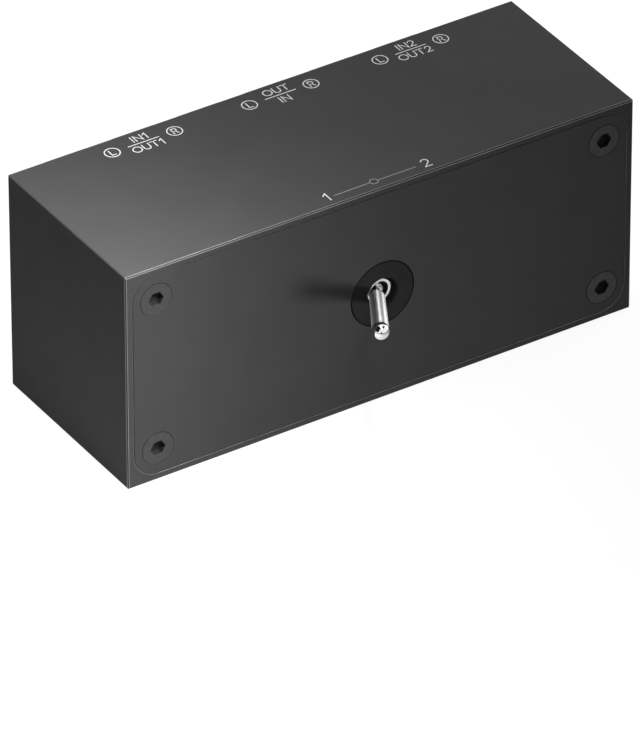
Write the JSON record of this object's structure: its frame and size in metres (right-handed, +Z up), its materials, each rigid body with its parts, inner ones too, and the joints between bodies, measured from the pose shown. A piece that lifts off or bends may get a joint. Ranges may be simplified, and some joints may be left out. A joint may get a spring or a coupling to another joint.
{
  "type": "speaker selector switch",
  "caption": "Black metal speaker selector box with a chrome toggle switch in front and rows of red and black spring-clip wire terminals behind.",
  "frame": {"origin": "centre of the enclosure's bottom face", "axes": "+X right seen from the front, +Y from the toggle side to the terminal side, +Z up"},
  "size_m": [0.1, 0.0579, 0.042],
  "materials": {
    "anodised_black": "matt black anodised aluminium",
    "black_oxide": "black-oxide steel screws",
    "bezel_black": "satin black",
    "chrome": "bright chrome plate",
    "steel": "bright zinc-plated and spring steel",
    "phenolic": "moulded phenolic",
    "tinned_metal": "tinned brass and solder",
    "board_laminate": "green glass-fibre laminate",
    "black_moulding": "fine satin black ABS",
    "red_moulding": "glossy red ABS",
    "fibre_board": "pressed fibre board"
  },
  "bodies": {
    "case": {"enclosure_sleeve": "anodised_black", "front_panel": "anodised_black", "rear_panel": "anodised_black", "front_screws": "black_oxide", "rear_screws": "black_oxide", "switch_bezel": "bezel_black", "switch_bushing": "chrome", "lock_washer": "steel", "back_nut": "chrome", "switch_frame": "steel", "switch_body": "phenolic", "switch_pins": "tinned_metal", "toggle_pin": "steel", "detent_plunger": "black_moulding", "detent_spring": "steel", "circuit_board": "board_laminate", "solder_joints": "tinned_metal", "terminal_block": "black_moulding", "terminal_back_plate": "fibre_board", "upper_hinge_rod": "steel", "lower_hinge_rod": "steel", "upper_contact_strips": "tinned_metal", "lower_contact_strips": "tinned_metal", "red_lever_springs": "steel", "black_lever_springs": "steel"},
    "toggle": {"toggle_lever": "chrome"},
    "red_1": {"red_lever_1": "red_moulding"},
    "red_2": {"red_lever_2": "red_moulding"},
    "red_3": {"red_lever_3": "red_moulding"},
    "red_4": {"red_lever_4": "red_moulding"},
    "red_5": {"red_lever_5": "red_moulding"},
    "red_6": {"red_lever_6": "red_moulding"},
    "black_1": {"black_lever_1": "black_moulding"},
    "black_2": {"black_lever_2": "black_moulding"},
    "black_3": {"black_lever_3": "black_moulding"},
    "black_4": {"black_lever_4": "black_moulding"},
    "black_5": {"black_lever_5": "black_moulding"},
    "black_6": {"black_lever_6": "black_moulding"}
  },
  "joints": [
    {"name": "toggle_swing", "type": "hinge", "parent": "case", "child": "toggle", "pos_m": [0, -0.01655, 0.021], "axis": [0, 0, 1], "range_deg": [0, 59]},
    {"name": "red_press_1", "type": "hinge", "parent": "case", "child": "red_1", "pos_m": [-0.03275, 0.0155, 0.0262], "axis": [1, 0, 0], "range_deg": [0, 12], "stiffness_Nm_per_rad": 0.05, "springref_deg": -20.05},
    {"name": "red_press_2", "type": "hinge", "parent": "case", "child": "red_2", "pos_m": [-0.01965, 0.0155, 0.0262], "axis": [1, 0, 0], "range_deg": [0, 12], "stiffness_Nm_per_rad": 0.05, "springref_deg": -20.05},
    {"name": "red_press_3", "type": "hinge", "parent": "case", "child": "red_3", "pos_m": [-0.00655, 0.0155, 0.0262], "axis": [1, 0, 0], "range_deg": [0, 12], "stiffness_Nm_per_rad": 0.05, "springref_deg": -20.05},
    {"name": "red_press_4", "type": "hinge", "parent": "case", "child": "red_4", "pos_m": [0.00655, 0.0155, 0.0262], "axis": [1, 0, 0], "range_deg": [0, 12], "stiffness_Nm_per_rad": 0.05, "springref_deg": -20.05},
    {"name": "red_press_5", "type": "hinge", "parent": "case", "child": "red_5", "pos_m": [0.01965, 0.0155, 0.0262], "axis": [1, 0, 0], "range_deg": [0, 12], "stiffness_Nm_per_rad": 0.05, "springref_deg": -20.05},
    {"name": "red_press_6", "type": "hinge", "parent": "case", "child": "red_6", "pos_m": [0.03275, 0.0155, 0.0262], "axis": [1, 0, 0], "range_deg": [0, 12], "stiffness_Nm_per_rad": 0.05, "springref_deg": -20.05},
    {"name": "black_press_1", "type": "hinge", "parent": "case", "child": "black_1", "pos_m": [-0.03275, 0.0155, 0.0158], "axis": [-1, 0, 0], "range_deg": [0, 12], "stiffness_Nm_per_rad": 0.05, "springref_deg": -20.05},
    {"name": "black_press_2", "type": "hinge", "parent": "case", "child": "black_2", "pos_m": [-0.01965, 0.0155, 0.0158], "axis": [-1, 0, 0], "range_deg": [0, 12], "stiffness_Nm_per_rad": 0.05, "springref_deg": -20.05},
    {"name": "black_press_3", "type": "hinge", "parent": "case", "child": "black_3", "pos_m": [-0.00655, 0.0155, 0.0158], "axis": [-1, 0, 0], "range_deg": [0, 12], "stiffness_Nm_per_rad": 0.05, "springref_deg": -20.05},
    {"name": "black_press_4", "type": "hinge", "parent": "case", "child": "black_4", "pos_m": [0.00655, 0.0155, 0.0158], "axis": [-1, 0, 0], "range_deg": [0, 12], "stiffness_Nm_per_rad": 0.05, "springref_deg": -20.05},
    {"name": "black_press_5", "type": "hinge", "parent": "case", "child": "black_5", "pos_m": [0.01965, 0.0155, 0.0158], "axis": [-1, 0, 0], "range_deg": [0, 12], "stiffness_Nm_per_rad": 0.05, "springref_deg": -20.05},
    {"name": "black_press_6", "type": "hinge", "parent": "case", "child": "black_6", "pos_m": [0.03275, 0.0155, 0.0158], "axis": [-1, 0, 0], "range_deg": [0, 12], "stiffness_Nm_per_rad": 0.05, "springref_deg": -20.05}
  ]
}
